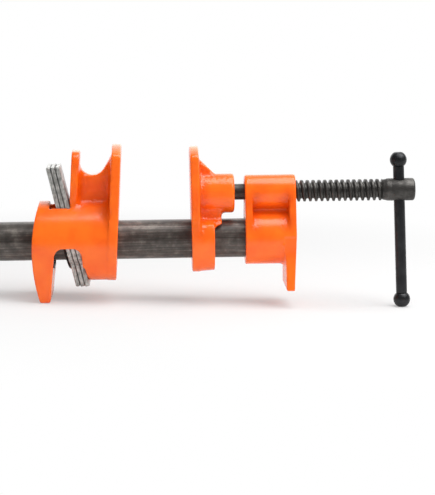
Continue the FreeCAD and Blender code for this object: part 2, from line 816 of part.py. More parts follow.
def make_head_casting():
    body = new_body("head_casting", head_station)

    lean = "((head_barrel_radius - head_boss_radius) / screw_axis_height)"
    share = f"sqrt(1 - {lean}^2)"
    rims = (("front_rim", "0", "head_front_rim"), ("back_rim", "head_length - head_back_rim", "head_back_rim"))
    for name, shift, thickness in rims:
        rim = new_sketch(body, f"{name}_outline", "YZ_Plane", shift)
        low = (f"head_barrel_radius * {share}", f"head_barrel_radius * {lean}")
        high = (f"head_boss_radius * {share}", f"screw_axis_height + head_boss_radius * {lean}")
        draw_outline(
            rim,
            [
                low,
                (*high, "head_boss_radius", 1),
                ("0", "screw_axis_height + head_boss_radius", "head_boss_radius", 1),
                (f"-{high[0]}", high[1]),
                (f"-{low[0]}", low[1], "head_barrel_radius", 1),
                ("0", "-head_barrel_radius", "head_barrel_radius", 1),
            ],
        )
        pad(body, name, rim, thickness)

    between_rims = "head_length - head_front_rim - head_back_rim"
    barrel = new_sketch(body, "barrel_outline", "YZ_Plane", "head_front_rim")
    draw_circle(barrel, "head_barrel_radius")
    pad(body, "barrel", barrel, between_rims)

    boss = new_sketch(body, "boss_outline", "YZ_Plane", "head_front_rim")
    draw_circle(boss, "head_boss_radius", up="screw_axis_height")
    pad(body, "boss", boss, between_rims)

    waist = new_sketch(body, "waist_outline", "XZ_Plane")
    draw_outline(
        waist,
        [
            ("head_front_rim / 2", "head_barrel_radius / 2"),
            ("head_length - head_back_rim / 2", "head_barrel_radius / 2"),
            ("head_length - head_back_rim / 2", "screw_axis_height"),
            ("head_front_rim / 2", "screw_axis_height"),
        ],
    )
    pad(body, "waist", waist, "waist_half * 2", both_ways=True)
    rounded(
        body,
        "waist_roots",
        "waist_fillet",
        lambda e: near(abs(e.Vertexes[0].Y), "waist_half") and near(abs(e.CenterOfMass.y), "waist_half"),
    )

    foot = new_sketch(body, "foot_outline", "YZ_Plane", "head_length - foot_thickness")
    draw_outline(
        foot,
        [
            ("head_barrel_radius - overrun", "0"),
            ("overrun - head_barrel_radius", "0"),
            ("-foot_half_width", "-foot_shoulder"),
            ("-foot_half_width", "-foot_depth"),
            ("foot_half_width", "-foot_depth"),
            ("foot_half_width", "-foot_shoulder"),
        ],
    )
    pad(body, "foot", foot, "foot_thickness")
    rounded(
        body,
        "foot_root",
        "foot_fillet",
        lambda e: near(e.CenterOfMass.x, "head_length - foot_thickness")
        and hasattr(e.Curve, "Radius")
        and near(e.Curve.Radius, "head_barrel_radius"),
    )

    back = new_sketch(body, "back_outline", "XZ_Plane")
    top = "(screw_axis_height + head_boss_radius)"
    draw_outline(
        back,
        [
            ("head_length + overrun", "-(foot_depth + overrun)"),
            ("head_length + overrun", f"{top} + overrun * tan(head_back_lean)"),
            (f"head_length - (foot_depth + overrun + {top}) * tan(head_back_lean)", "-(foot_depth + overrun)"),
        ],
    )
    pocket(body, "back", back, both_ways=True)

    bore = new_sketch(body, "bore_outline", "YZ_Plane")
    draw_circle(bore, "pipe_outer / 2 + fit_gap")
    pocket(body, "bore", bore, both_ways=True)

    nut = new_sketch(body, "nut_outline", "YZ_Plane")
    draw_circle(nut, "thread_radius + fit_gap * 2", up="screw_axis_height")
    pocket(body, "nut", nut, both_ways=True)
    return body


screw_station = f"({jaw_station} + boss_length - tip_bore_depth + seat_gap)"
handle_station = f"({screw_station} + screw_neck_length + thread_length + handle_hole_station)"


def make_main_screw():
    body = new_body("main_screw", screw_station, "screw_axis_height")
    groove_middle = "(tip_bore_depth - pin_from_end - seat_gap)"
    thread_end = "(screw_neck_length + thread_length)"
    screw_end = f"({thread_end} + hub_length)"
    profile = new_sketch(body, "profile", "XZ_Plane")
    draw_outline(
        profile,
        [
            ("0", "0"),
            ("0", "neck_shaft_radius - tip_chamfer"),
            ("tip_chamfer", "neck_shaft_radius"),
            (f"{groove_middle} - groove_width / 2", "neck_shaft_radius"),
            (f"{groove_middle} - groove_width / 2", "groove_radius"),
            (f"{groove_middle} + groove_width / 2", "groove_radius"),
            (f"{groove_middle} + groove_width / 2", "neck_shaft_radius"),
            ("screw_neck_length", "neck_shaft_radius"),
            ("screw_neck_length", "thread_radius"),
            (thread_end, "thread_radius"),
            (thread_end, "hub_radius - hub_chamfer"),
            (f"{thread_end} + hub_chamfer", "hub_radius"),
            (f"{screw_end} - hub_round", "hub_radius", "hub_round", -1),
            (screw_end, "hub_radius - hub_round"),
            (screw_end, "0"),
        ],
    )
    turned(body, "Revolution", "shaft", profile)

    hole = new_sketch(body, "handle_hole_outline", "XY_Plane")
    draw_circle(hole, "rod_radius + handle_hole_gap", f"{thread_end} + handle_hole_station")
    pocket(body, "handle_hole", hole, both_ways=True)
    return body


def make_t_bar():
    body = new_body("t_bar", handle_station, "screw_axis_height", "-handle_lean")
    profile = new_sketch(body, "profile", "XZ_Plane")
    high_shoulder = "upper_ball_reach - ball_seat - fit_gap"
    low_shoulder = "-(lower_ball_reach - ball_seat - fit_gap)"
    draw_outline(
        profile,
        [
            ("0", "-(lower_ball_reach + ball_flat)"),
            ("tenon_radius", "-(lower_ball_reach + ball_flat)"),
            ("tenon_radius", low_shoulder),
            ("rod_radius", low_shoulder),
            ("rod_radius", high_shoulder),
            ("tenon_radius", high_shoulder),
            ("tenon_radius", "upper_ball_reach + ball_flat"),
            ("0", "upper_ball_reach + ball_flat"),
        ],
    )
    turned(body, "Revolution", "rod", profile, "Z_Axis")
    return body


def make_ball(label, reach, turn):
    """Reach runs from the screw's axis along the rod, upwards."""
    body = new_body(
        label,
        f"{handle_station} - {reach} * sin(handle_lean)",
        f"screw_axis_height + {reach} * cos(handle_lean)",
        turn,
    )
    profile = new_sketch(body, "profile", "XZ_Plane")
    inner = "tenon_radius + fit_gap"
    draw_outline(
        profile,
        [
            (inner, "-ball_seat"),
            ("sqrt(ball_radius^2 - ball_seat^2)", "-ball_seat", "ball_radius", 1),
            ("sqrt(ball_radius^2 - ball_flat^2)", "ball_flat"),
            (inner, "ball_flat"),
        ],
    )
    turned(body, "Revolution", "ball", profile, "Z_Axis")
    return body


bodies = [
    make_pipe(),
    make_tail_casting(),
    *[make_clutch_plate(place) for place in (-1, 0, 1)],
    make_clutch_spring(),
    make_sliding_jaw(),
    make_screw_retaining_pin(),
    make_head_casting(),
    make_main_screw(),
    make_t_bar(),
    make_ball("t_bar_ball_upper", "upper_ball_reach", "-handle_lean"),
    make_ball("t_bar_ball_lower", "(-lower_ball_reach)", "180 - handle_lean"),
]
document.recompute()

faults = [o.Name for o in document.Objects if {"Invalid", "Error"} & set(o.State)]
faults += [b.Name for b in bodies if b.Shape.isNull() or not b.Shape.isValid()]
faults += [b.Name for b in bodies if len(b.Shape.Solids) != 1]
if faults:
    raise RuntimeError(f"failed: {faults}")
os.makedirs("parts", exist_ok=True)
for body in bodies:
    body.Shape.exportStep(f"parts/{body.Label}.step")
    print(body.Label, round(body.Shape.Volume))
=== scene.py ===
from math import acos, cos, pi, radians, sin

import bpy
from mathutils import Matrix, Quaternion, Vector
from mathutils.kdtree import KDTree


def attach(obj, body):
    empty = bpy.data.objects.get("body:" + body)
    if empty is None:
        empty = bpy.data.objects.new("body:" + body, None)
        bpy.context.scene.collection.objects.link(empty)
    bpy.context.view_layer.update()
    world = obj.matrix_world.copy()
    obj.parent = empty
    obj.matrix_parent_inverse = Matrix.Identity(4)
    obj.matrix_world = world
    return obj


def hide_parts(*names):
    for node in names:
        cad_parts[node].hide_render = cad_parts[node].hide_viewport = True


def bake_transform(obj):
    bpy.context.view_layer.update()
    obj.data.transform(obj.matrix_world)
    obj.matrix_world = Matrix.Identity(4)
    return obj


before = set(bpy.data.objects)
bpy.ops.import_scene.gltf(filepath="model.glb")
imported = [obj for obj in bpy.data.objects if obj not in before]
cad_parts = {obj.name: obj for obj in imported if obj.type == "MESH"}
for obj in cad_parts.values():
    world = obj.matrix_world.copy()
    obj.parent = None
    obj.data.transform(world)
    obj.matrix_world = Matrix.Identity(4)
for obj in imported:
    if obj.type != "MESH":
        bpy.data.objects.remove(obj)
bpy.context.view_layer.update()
print("pipe clamp frame loaded")

mm = 0.001
screwHeight = 31.75  # mm, the screw's axis above the pipe's


# ---- small helpers


def linearColour(hexText):
    shares = [int(hexText[i:i + 2], 16) / 255 for i in (1, 3, 5)]
    return [s / 12.92 if s <= 0.04045 else ((s + 0.055) / 1.055) ** 2.4 for s in shares] + [1]


def addNode(tree, kind, settings={}, links={}):  # a node with its settings and what is linked into it
    node = tree.nodes.new("ShaderNode" + kind)
    for name, value in settings.items():
        if name == "stops":  # colour ramp, as (place, hex colour)
            while len(node.color_ramp.elements) < len(value):
                node.color_ramp.elements.new(0.5)
            for element, (place, colour) in zip(node.color_ramp.elements, value):
                element.position = place
                element.color = linearColour(colour)
        elif hasattr(node, str(name)):  # a number names an input by its place
            setattr(node, name, value)
        else:
            node.inputs[name].default_value = value
    for name, source in links.items():
        tree.links.new(source, node.inputs[name])
    return node


def addNoise(tree, vector, size, detail, roughness=0.5):  # size in mm, or 1000 on a stretched vector
    settings = {"Scale": 1000 / size, "Detail": detail, "Roughness": roughness}
    return addNode(tree, "TexNoise", settings, {"Vector": vector}).outputs["Fac"]


def addStretch(tree, vector, sizes, turn=0):  # sizes in mm along the three axes
    settings = {"Scale": [1000 / size for size in sizes], "Rotation": (0, turn, 0)}
    return addNode(tree, "Mapping", settings, {"Vector": vector}).outputs["Vector"]


def addMath(tree, operation, first, second):  # second is an output or a number
    settings, links = {"operation": operation}, {0: first}
    (settings if isinstance(second, (int, float)) else links)[1] = second
    return addNode(tree, "Math", settings, links).outputs[0]


def addRange(tree, value, start, end, low=0, high=1):
    settings = {"From Min": start, "From Max": end, "To Min": low, "To Max": high}
    return addNode(tree, "MapRange", settings, {"Value": value}).outputs["Result"]


def addRamp(tree, value, stops):
    return addNode(tree, "ValToRGB", {"stops": stops}, {"Fac": value}).outputs["Color"]


def mixColours(tree, share, first, hexText):
    settings = {"data_type": "RGBA", "B": linearColour(hexText)}
    return addNode(tree, "Mix", settings, {"Factor": share, "A": first}).outputs["Result"]


def addBump(tree, height, distance, links={}):  # distance in mm
    settings = {"Distance": distance * mm, "Strength": 1}
    return addNode(tree, "Bump", settings, {"Height": height, **links}).outputs["Normal"]


def linkShader(tree, shader, links):
    for socket, source in links.items():
        tree.links.new(source, shader.inputs[socket])


def newMaterial(name, settings):
    material = bpy.data.materials.new(name)
    material.use_nodes = True
    shader = material.node_tree.nodes["Principled BSDF"]
    for socket, value in settings.items():
        shader.inputs[socket].default_value = value
    return material, material.node_tree, shader


def nothingSelected():
    if bpy.context.object and bpy.context.object.mode != "OBJECT":
        bpy.ops.object.mode_set(mode="OBJECT")
    bpy.ops.object.select_all(action="DESELECT")


def pick(piece):
    nothingSelected()
    piece.select_set(True)
    bpy.context.view_layer.objects.active = piece


def useModifier(piece, kind, **settings):
    pick(piece)
    modifier = piece.modifiers.new(kind, kind)
    for name, value in settings.items():
        setattr(modifier, name, value)
    bpy.ops.object.modifier_apply(modifier=modifier.name)


def copyNode(node, name):  # the CAD mesh is loose triangles, so the copy is merged
    piece = bpy.data.objects.new(name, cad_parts[node].data.copy())
    bpy.context.scene.collection.objects.link(piece)
    pick(piece)
    bpy.ops.object.mode_set(mode="EDIT")
    bpy.ops.mesh.select_all(action="SELECT")
    bpy.ops.mesh.remove_doubles(threshold=0.003 * mm)
    bpy.ops.object.mode_set(mode="OBJECT")
    return piece


def drawProfile(name, points):  # half a section, drawn point by point as (along, radius) in mm
    nothingSelected()
    bpy.ops.mesh.primitive_plane_add(size=mm)
    piece = bpy.context.object
    piece.name = name
    places = [Vector((along * mm, 0, radius * mm)) for along, radius in points]
    bpy.ops.object.mode_set(mode="EDIT")
    bpy.ops.mesh.select_all(action="SELECT")
    bpy.ops.mesh.merge(type="CENTER")
    bpy.ops.transform.translate(value=places[0])
    for before, after in zip(places, places[1:]):
        bpy.ops.mesh.extrude_vertices_move(TRANSFORM_OT_translate={"value": after - before})
    bpy.ops.object.mode_set(mode="OBJECT")
    return piece


def turnProfile(piece, steps):  # spins it round the X axis
    pick(piece)
    bpy.ops.object.mode_set(mode="EDIT")
    bpy.ops.mesh.select_all(action="SELECT")
    bpy.ops.mesh.spin(steps=steps, angle=2 * pi, center=(0, 0, 0), axis=(1, 0, 0))
    bpy.ops.mesh.select_all(action="SELECT")
    bpy.ops.mesh.remove_doubles(threshold=0.005 * mm)
    bpy.ops.mesh.normals_make_consistent(inside=False)
    bpy.ops.object.mode_set(mode="OBJECT")


def windProfile(piece, pitch, turns, steps):  # winds one pitch of a thread round the X axis
    useModifier(
        piece, "SCREW", axis="X", angle=2 * pi, screw_offset=pitch * mm, iterations=turns, steps=steps,
        render_steps=steps,
    )
    bpy.ops.object.mode_set(mode="EDIT")
    bpy.ops.mesh.select_all(action="SELECT")
    bpy.ops.mesh.remove_doubles(threshold=0.01 * mm)
    bpy.ops.object.mode_set(mode="OBJECT")


def cutEnds(piece, start, end):  # trims to two stations along X and closes both ends
    pick(piece)
    bpy.ops.object.mode_set(mode="EDIT")
    for station, side in ((start, -1), (end, 1)):
        bpy.ops.mesh.select_all(action="SELECT")
        bpy.ops.mesh.bisect(
            plane_co=(station * mm, 0, 0), plane_no=(side, 0, 0), use_fill=True, clear_outer=True
        )
    bpy.ops.mesh.select_all(action="SELECT")
    bpy.ops.mesh.normals_make_consistent(inside=False)
    bpy.ops.object.mode_set(mode="OBJECT")


def movePiece(piece, along, up, lean=0):  # leans it about Y, then puts it in place, in the mesh
    pick(piece)
    piece.rotation_euler = (0, lean, 0)
    piece.location = (along * mm, 0, up * mm)
    bpy.ops.object.transform_apply(location=True, rotation=True, scale=True)


def joinPieces(first, *others):
    nothingSelected()
    for piece in others:
        piece.select_set(True)
    first.select_set(True)
    bpy.context.view_layer.objects.active = first
    bpy.ops.object.join()


def combine(piece, tool, operation):
    useModifier(piece, "BOOLEAN", operation=operation, object=tool, solver="EXACT", use_self=True)
    bpy.data.objects.remove(tool)


def dressPiece(piece, body, material, nodes=(), smoothTo=35):
    piece.data.materials.clear()
    piece.data.materials.append(material)
    pick(piece)
    bpy.ops.object.shade_smooth_by_angle(angle=radians(smoothTo))
    if nodes:
        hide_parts(*nodes)
    if body:
        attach(piece, body)


# ---- materials


castEnamel = {
    "fresh": "#FF6F15",
    "deeper": "#F9600D",
    "patch": 16,  # mm, how far apart thick and thin coats lie
    "poolAndShade": "#DC4C08",  # where it lies thick in the roots, darkened further as painted shade of the recesses
    "poolAndShadeFrom": 0.3,  # share of the way to a root
    "poolAndShadeShare": 0.75,
    "lump": 2.3,  # mm, unevenness of the sand casting under the paint, strong only near the roots
    "lumpHeight": 0.55,
    "lumpAway": 0.03,  # share of it far from a root
    "swell": 9,  # mm, slow waves of the moulded faces
    "swellHeight": 0.12,
    "roughness": 0.23,
}


def makeCastEnamel():  # gloss orange enamel sprayed on sand-cast iron: even colour apart from painted shade in the roots, uneven shine
    c = castEnamel
    material, tree, shader = newMaterial(
        "GlossOrangeEnamelOnSandCastIron", {"Roughness": c["roughness"], "IOR": 1.5}
    )
    place = addNode(tree, "TexCoord").outputs["Object"]
    atRoots = addNode(tree, "Attribute", {"attribute_name": "nearRoot"}).outputs["Fac"]
    colour = addRamp(tree, addNoise(tree, place, c["patch"], 3), [(0.32, c["deeper"]), (0.62, c["fresh"])])
    # painted shade: the base colour darkens towards the roots, standing for thick enamel and the shadow in the
    # recesses
    poolAndShade = addRange(tree, atRoots, c["poolAndShadeFrom"], 1, 0, c["poolAndShadeShare"])
    under = addBump(tree, addNoise(tree, place, c["swell"], 1), c["swellHeight"])
    over = addBump(
        tree, addNoise(tree, place, c["lump"], 3), c["lumpHeight"],
        {"Strength": addRange(tree, atRoots, 0, 1, c["lumpAway"]), "Normal": under},
    )
    linkShader(tree, shader, {"Base Color": mixColours(tree, poolAndShade, colour, c["poolAndShade"]), "Normal": over})
    return material


millPipe = {
    "dark": "#403C39",
    "middle": "#58534E",
    "rubbed": "#857E77",
    "streakLength": 45,  # mm, drawing lines along the tube
    "streakWidth": 1.3,
    "blotch": 6,
    "relief": 0.03,
    "roughness": (0.52, 0.34),  # scale, rubbed steel
    "scratch": "#B5AFA8",
    "scratchWidth": 0.9,  # mm, scratches across it, where the tail has been set at the threaded end
    "scratchLength": 12,
    "scratched": (0.055, 0.03),  # metres along the tube, where they start and are full
}


def makeMillPipe():  # lacquered black mill scale on welded tube: dark, streaked lengthwise, rubbed in lines
    c = millPipe
    material, tree, shader = newMaterial(
        "LacqueredMillScaleTube", {"Metallic": 0.55, "Coat Weight": 0.25, "Coat Roughness": 0.3}
    )
    place = addNode(tree, "TexCoord").outputs["Object"]
    drawn = addStretch(tree, place, (c["streakLength"], c["streakWidth"], c["streakWidth"]))
    streaks = addNoise(tree, drawn, 1000, 5, 0.6)
    blotches = addNoise(tree, place, c["blotch"], 4, 0.6)
    half = addMath(tree, "MULTIPLY", addMath(tree, "ADD", streaks, blotches), 0.5)
    colour = addRamp(tree, half, [(0.38, c["dark"]), (0.52, c["middle"]), (0.66, c["rubbed"])])
    across = addStretch(tree, place, (c["scratchWidth"], c["scratchLength"], c["scratchLength"]))
    lines = addRange(tree, addNoise(tree, across, 1000, 2), 0.6, 0.7)
    along = addNode(tree, "SeparateXYZ", {}, {0: place}).outputs["X"]
    scratches = addMath(tree, "MULTIPLY", lines, addRange(tree, along, *c["scratched"]))
    linkShader(tree, shader, {
        "Base Color": mixColours(tree, scratches, colour, c["scratch"]),
        "Roughness": addRange(tree, streaks, 0.35, 0.65, *c["roughness"]),
        "Normal": addBump(tree, half, c["relief"]),
    })
    return material


zincPlate = {
    "bright": "#CFCFCB",
    "dull": "#939490",
    "shearLength": 6,  # mm, tear marks of the punch, along the plate's edge
    "shearWidth": 0.7,
    "relief": 0.05,
    "spangle": 3,
    "roughness": (0.45, 0.28),
    "tilt": 13,
    "seamShade": "#3B3A38",  # painted shade in the seams between the plates, with a little oil
    "middle": 150.832,  # mm, middle plate's middle, square to the plates
    "seamShadeAt": 1.5,  # mm, from there
    "seamShadeReach": (0.6, 0.15),  # mm from the seam, where it starts and is full
    "seamShadeShare": 0.85,
}


def makeZincPlate():  # zinc plating on punched steel: pale, cloudy, shear marks on the edges, dark seams of painted shade
    c = zincPlate
    tilt = radians(c["tilt"])
    material, tree, shader = newMaterial("ZincPlatedPunchedSteel", {"Metallic": 0.45})
    place = addNode(tree, "TexCoord").outputs["Object"]
    sheared = addStretch(tree, place, (c["shearWidth"], c["shearWidth"], c["shearLength"]), tilt)
    marks = addNoise(tree, sheared, 1000, 4)
    clouds = addNoise(tree, place, c["spangle"], 3)
    half = addMath(tree, "MULTIPLY", addMath(tree, "ADD", marks, clouds), 0.5)
    colour = addRamp(tree, half, [(0.42, c["dull"]), (0.58, c["bright"])])
    square = (cos(tilt), 0, sin(tilt))
    along = addNode(tree, "VectorMath", {"operation": "DOT_PRODUCT", 1: square}, {0: place}).outputs["Value"]
    fromMiddle = addMath(tree, "ABSOLUTE", addMath(tree, "SUBTRACT", along, c["middle"] * mm), 0)
    fromSeam = addMath(tree, "ABSOLUTE", addMath(tree, "SUBTRACT", fromMiddle, c["seamShadeAt"] * mm), 0)
    start, full = c["seamShadeReach"]
    # painted shade: the plate faces darken next to the seams between the plates, standing for their shadow and
    # a little oil
    inSeamShade = addRange(tree, fromSeam, start * mm, full * mm, 0, c["seamShadeShare"])
    linkShader(tree, shader, {
        "Base Color": mixColours(tree, inSeamShade, colour, c["seamShade"]),
        "Roughness": addRange(tree, clouds, 0.35, 0.65, *c["roughness"]),
        "Normal": addBump(tree, marks, c["relief"]),
    })
    return material


steelGrain = {"size": 0.6, "height": 0.012}  # mm


# dark steel: near black, cloudy where hands and oil have been, with a fine grain that breaks its shine
def makeBlackSteel(name, dark, worn, cloud, roughness, metallic=0.85):
    material, tree, shader = newMaterial(name, {"Metallic": metallic})
    place = addNode(tree, "TexCoord").outputs["Object"]
    clouds = addNoise(tree, place, cloud, 4, 0.6)
    linkShader(tree, shader, {
        "Base Color": addRamp(tree, clouds, [(0.38, dark), (0.68, worn)]),
        "Roughness": addRange(tree, clouds, 0.3, 0.7, roughness + 0.08, roughness - 0.08),
        "Normal": addBump(tree, addNoise(tree, place, steelGrain["size"], 2), steelGrain["height"]),
    })
    return material


enamel = makeCastEnamel()
millScale = makeMillPipe()
zinc = makeZincPlate()
oxideThread = makeBlackSteel("BlackOxideRolledThread", "#403E3C", "#5C5A57", 6, 0.46, 0.7)
oxideHandle = makeBlackSteel("BlackOxideDrawnRod", "#27282A", "#343537", 8, 0.38, 0.6)
springWire = makeBlackSteel("OilTemperedSpringWire", "#262423", "#3A3734", 3, 0.34)
pinSteel = makeBlackSteel("GroundPinSteel", "#6E6B68", "#8E8A86", 2, 0.3)
print("materials made")


# ---- castings


castingShape = {
    "grid": 0.7,  # mm, remesh grid
    "settle": 2,  # rounds of smoothing all over
    "uneven": 10,  # mm, how far from the roots the cast surface is lumpy
    "testRounds": 20,  # rounds of smoothing that find the inner corners
    "testMoves": 0.15,  # mm, how far they move an inner corner at least
    "fullWeight": 1.5,  # smoothing is full over the first third of its reach
    "tailRoots": (7.5, 160),  # mm round the inner corners, and rounds of smoothing there
    "jawRoots": (4, 60),
    "headRoots": (2.5, 30),
    "tailWeb": (160, 20),  # mm, the tail's roots lie past this station and over this height
    "jawBack": 238.5,  # mm, and the jaw's lie behind its face
    "pipeBore": 15.5,  # mm, the bores' own edges stay as they are
    "jawBore": 8,
    "headBore": 9,
    "headFlank": (3, 17),  # mm, over this height or within this half-width
}


def softCasting(node, name, roots, inCorner):  # sand castings have no sharp inner corners
    c = castingShape
    reach, rounds = roots
    piece = copyNode(node, name)
    useModifier(piece, "REMESH", mode="VOXEL", voxel_size=c["grid"] * mm)
    useModifier(piece, "SMOOTH", factor=0.5, iterations=c["settle"])
    rounder = piece.copy()
    rounder.data = piece.data.copy()
    bpy.context.scene.collection.objects.link(rounder)
    useModifier(rounder, "SMOOTH", factor=0.5, iterations=c["testRounds"])
    places = [  # an inner corner is where smoothing moves the surface outwards
        vertex.co.copy() for vertex, moved in zip(piece.data.vertices, rounder.data.vertices)
        if (moved.co - vertex.co).dot(vertex.normal) > c["testMoves"] * mm and inCorner(vertex.co / mm)
    ]
    bpy.data.objects.remove(rounder)
    tree = KDTree(len(places))
    for index, place in enumerate(places):
        tree.insert(place, index)
    tree.balance()
    away = [tree.find(vertex.co)[2] / mm for vertex in piece.data.vertices]
    corners = piece.vertex_groups.new(name="innerCorners")
    for index, distance in enumerate(away):
        if distance < reach:
            corners.add([index], min(c["fullWeight"] * (1 - distance / reach), 1), "REPLACE")
    useModifier(piece, "SMOOTH", factor=0.5, iterations=rounds, vertex_group="innerCorners")
    useModifier(piece, "SMOOTH", factor=0.5, iterations=1)
    near = piece.data.attributes.new("nearRoot", "FLOAT", "POINT")
    near.data.foreach_set("value", [max(1 - distance / c["uneven"], 0) for distance in away])
    return piece


def acrossFrom(place, up):  # distance from an axis along X, in mm
    return (place.y ** 2 + (place.z - up) ** 2) ** 0.5


def tailCorner(place):
    station, height = castingShape["tailWeb"]
    return place.x > station and place.z > height


def jawCorner(place):
    c = castingShape
    clear = acrossFrom(place, 0) > c["pipeBore"] and acrossFrom(place, screwHeight) > c["jawBore"]
    return clear and place.x > c["jawBack"]


def headCorner(place):
    c = castingShape
    height, halfWidth = c["headFlank"]
    clear = acrossFrom(place, 0) > c["pipeBore"] and acrossFrom(place, screwHeight) > c["headBore"]
    return clear and (place.z > height or abs(place.y) < halfWidth)


footShape = {
    "front": 299.5,  # mm
    "top": 2,
    "barrel": 17.5,  # half-width
    "bottom": -46,  # from there upwards the foot narrows
    "narrowed": 40,  # height over which it comes down to the barrel
}


def narrowFoot(piece):  # the foot leaves the barrel as wide as the barrel and spreads downwards
    f = footShape
    for vertex in piece.data.vertices:
        place = vertex.co / mm
        out = abs(place.y) - f["barrel"]
        if place.x > f["front"] and place.z < f["top"] and out > 0:
            share = min(max((place.z - f["bottom"]) / f["narrowed"], 0), 1)
            share = share * share * (3 - 2 * share)
            vertex.co.y *= (f["barrel"] + out * (1 - share)) / (f["barrel"] + out)


tailSkin = softCasting("tail_casting", "tail_casting_skin", castingShape["tailRoots"], tailCorner)
dressPiece(tailSkin, "tail_jaw", enamel, ["tail_casting"], 180)
jawSkin = softCasting("sliding_jaw", "sliding_jaw_skin", castingShape["jawRoots"], jawCorner)
dressPiece(jawSkin, "screw_jaw", enamel, ["sliding_jaw"], 180)
headSkin = softCasting("head_casting", "head_casting_skin", castingShape["headRoots"], headCorner)
narrowFoot(headSkin)
dressPiece(headSkin, "pipe_and_head", enamel, ["head_casting"], 180)
print("castings rounded:", [len(p.data.polygons) for p in (tailSkin, jawSkin, headSkin)])


# ---- pipe


pipeShape = {
    "length": 304.8,
    "outer": 13.335,  # radius
    "inner": 10.465,
    "threadPitch": 25.4 / 14,  # taper pipe thread
    "threadTurns": 10,
    "crestAtEnd": 12.8,
    "depth": 1.15,
    "taper": 32,  # length over which the radius grows by 1, which is 1 in 16 on the diameter
    "firstCrest": 11.9,
    "fullCrest": 13.3,  # crests further in are cut off by the tube's own surface
    "threadCore": 11.8,  # radius of the tube under the last turn
    "runOut": 1.6,
    "overrun": 5,
}


def makePipe():
    s = pipeShape
    pitch = s["threadPitch"]
    crest, root = s["crestAtEnd"], s["crestAtEnd"] - s["depth"]
    thread = drawProfile(
        "pipe_thread",
        [(0, root), (0.12 * pitch, root), (0.44 * pitch, crest), (0.56 * pitch, crest), (0.88 * pitch, root),
         (pitch, root)],
    )
    windProfile(thread, pitch, s["threadTurns"] + 2, 72)
    movePiece(thread, -pitch, 0)
    cutEnds(thread, 0, s["threadTurns"] * pitch)
    for vertex in thread.data.vertices:
        radius = (vertex.co.y ** 2 + vertex.co.z ** 2) ** 0.5
        if radius > 1 * mm:
            along = vertex.co.x
            wanted = min(radius + along / s["taper"], s["fullCrest"] * mm, s["firstCrest"] * mm + along)
            vertex.co.y *= wanted / radius
            vertex.co.z *= wanted / radius
    last, length, inner = s["threadTurns"] * pitch - 0.6, s["length"], s["inner"]
    tube = drawProfile(
        "black_pipe",
        [(last, 0), (last, s["threadCore"]), (last + s["runOut"], s["outer"]), (last + 40, s["outer"]),
         (length - 1, s["outer"]), (length, s["outer"] - 1), (length, 0)],
    )
    turnProfile(tube, 96)
    combine(tube, thread, "UNION")
    bore = drawProfile(
        "bore",
        [(-s["overrun"], 0), (-s["overrun"], inner + 1), (0.1, inner + 0.6), (0.7, inner),
         (length - 0.7, inner), (length - 0.1, inner + 0.6), (length + s["overrun"], inner + 1),
         (length + s["overrun"], 0)],
    )
    turnProfile(bore, 64)
    combine(tube, bore, "DIFFERENCE")
    return tube


blackPipe = makePipe()
dressPiece(blackPipe, "pipe_and_head", millScale, ["pipe"], 30)
print("pipe threaded:", len(blackPipe.data.polygons))


# ---- screw


screwShape = {
    "tip": 247.25,  # the rest is measured from the tip
    "groove": 10.75,
    "grooveRadius": 3.9,
    "threadStart": 26,
    "threadEnd": 122.5,
    "pitch": 4,
    "crest": 7.4,  # radius
    "root": 5.35,
    "shaft": 5.45,
    "hubStart": 121,
    "hub": 7.75,
    "hole": 132.4,
    "holeRadius": 4.25,
    "end": 143,
    "turns": 27,
    "threadTurn": 1.3,  # mm, shifts the turns along the screw
}


def makeScrew():
    s = screwShape
    pitch, crest, root, hub = s["pitch"], s["crest"], s["root"], s["hub"]
    thread = drawProfile(
        "screw_thread",
        [(0, root), (0.5, root), (0.66, root + 0.2), (1.16, crest - 0.3), (1.3, crest - 0.06),
         (1.45, crest), (2.55, crest), (2.7, crest - 0.06), (2.84, crest - 0.3), (3.34, root + 0.2),
         (3.5, root), (pitch, root)],
    )
    windProfile(thread, pitch, s["turns"], 56)
    movePiece(thread, s["threadStart"] - pitch + s["threadTurn"], 0)
    cutEnds(thread, s["threadStart"], s["threadEnd"])
    for vertex in thread.data.vertices:  # the first turn starts from a chamfer, the last one runs out
        radius = (vertex.co.y ** 2 + vertex.co.z ** 2) ** 0.5
        room = min(vertex.co.x - s["threadStart"] * mm, (s["threadEnd"] * mm - vertex.co.x) * 0.9)
        wanted = min(radius, root * mm + max(room, 0) + 0.3 * mm)
        if radius > 1 * mm:
            vertex.co.y *= wanted / radius
            vertex.co.z *= wanted / radius
    groove, start, end = s["groove"], s["hubStart"], s["end"]
    shaft = drawProfile(
        "main_screw_body",
        [(0, 0), (0, s["shaft"] - 0.8), (0.8, s["shaft"]), (groove - 2.9, s["shaft"]),
         (groove - 2.4, s["grooveRadius"]), (groove + 2.4, s["grooveRadius"]),
         (groove + 2.9, s["shaft"]), (s["threadStart"] + 0.5, s["shaft"]),
         (s["threadStart"] + 3, 5.2), (start - 1.5, 5.2), (start - 0.6, 6.6), (start + 0.2, 6.95),
         (start + 2.4, 7.35), (start + 3.1, 7.7), (start + 3.5, 7.6), (start + 3.9, 7.7), (start + 5.2, 7.7),
         (start + 5.5, 7.62), (start + 5.8, hub), (end - 1.6, hub), (end - 0.9, hub - 0.18),
         (end - 0.3, hub - 0.8), (end, hub - 1.7), (end, 1.6), (end - 0.9, 0)],
    )
    turnProfile(shaft, 72)
    hole = drawProfile(
        "cross_hole",
        [(-12, 0), (-12, 5.6), (-7.9, 5.0), (-6.9, s["holeRadius"]), (6.9, s["holeRadius"]), (7.9, 5.0),
         (12, 5.6), (12, 0)],
    )
    turnProfile(hole, 40)
    movePiece(hole, s["hole"], 0, pi / 2)
    combine(shaft, hole, "DIFFERENCE")
    joinPieces(shaft, thread)
    movePiece(shaft, s["tip"], screwHeight)
    shaft.name = "main_screw_threaded"
    return shaft


mainScrew = makeScrew()
dressPiece(mainScrew, "screw", oxideThread, ["main_screw"], 42)
print("screw threaded:", len(mainScrew.data.polygons))


# ---- T-bar


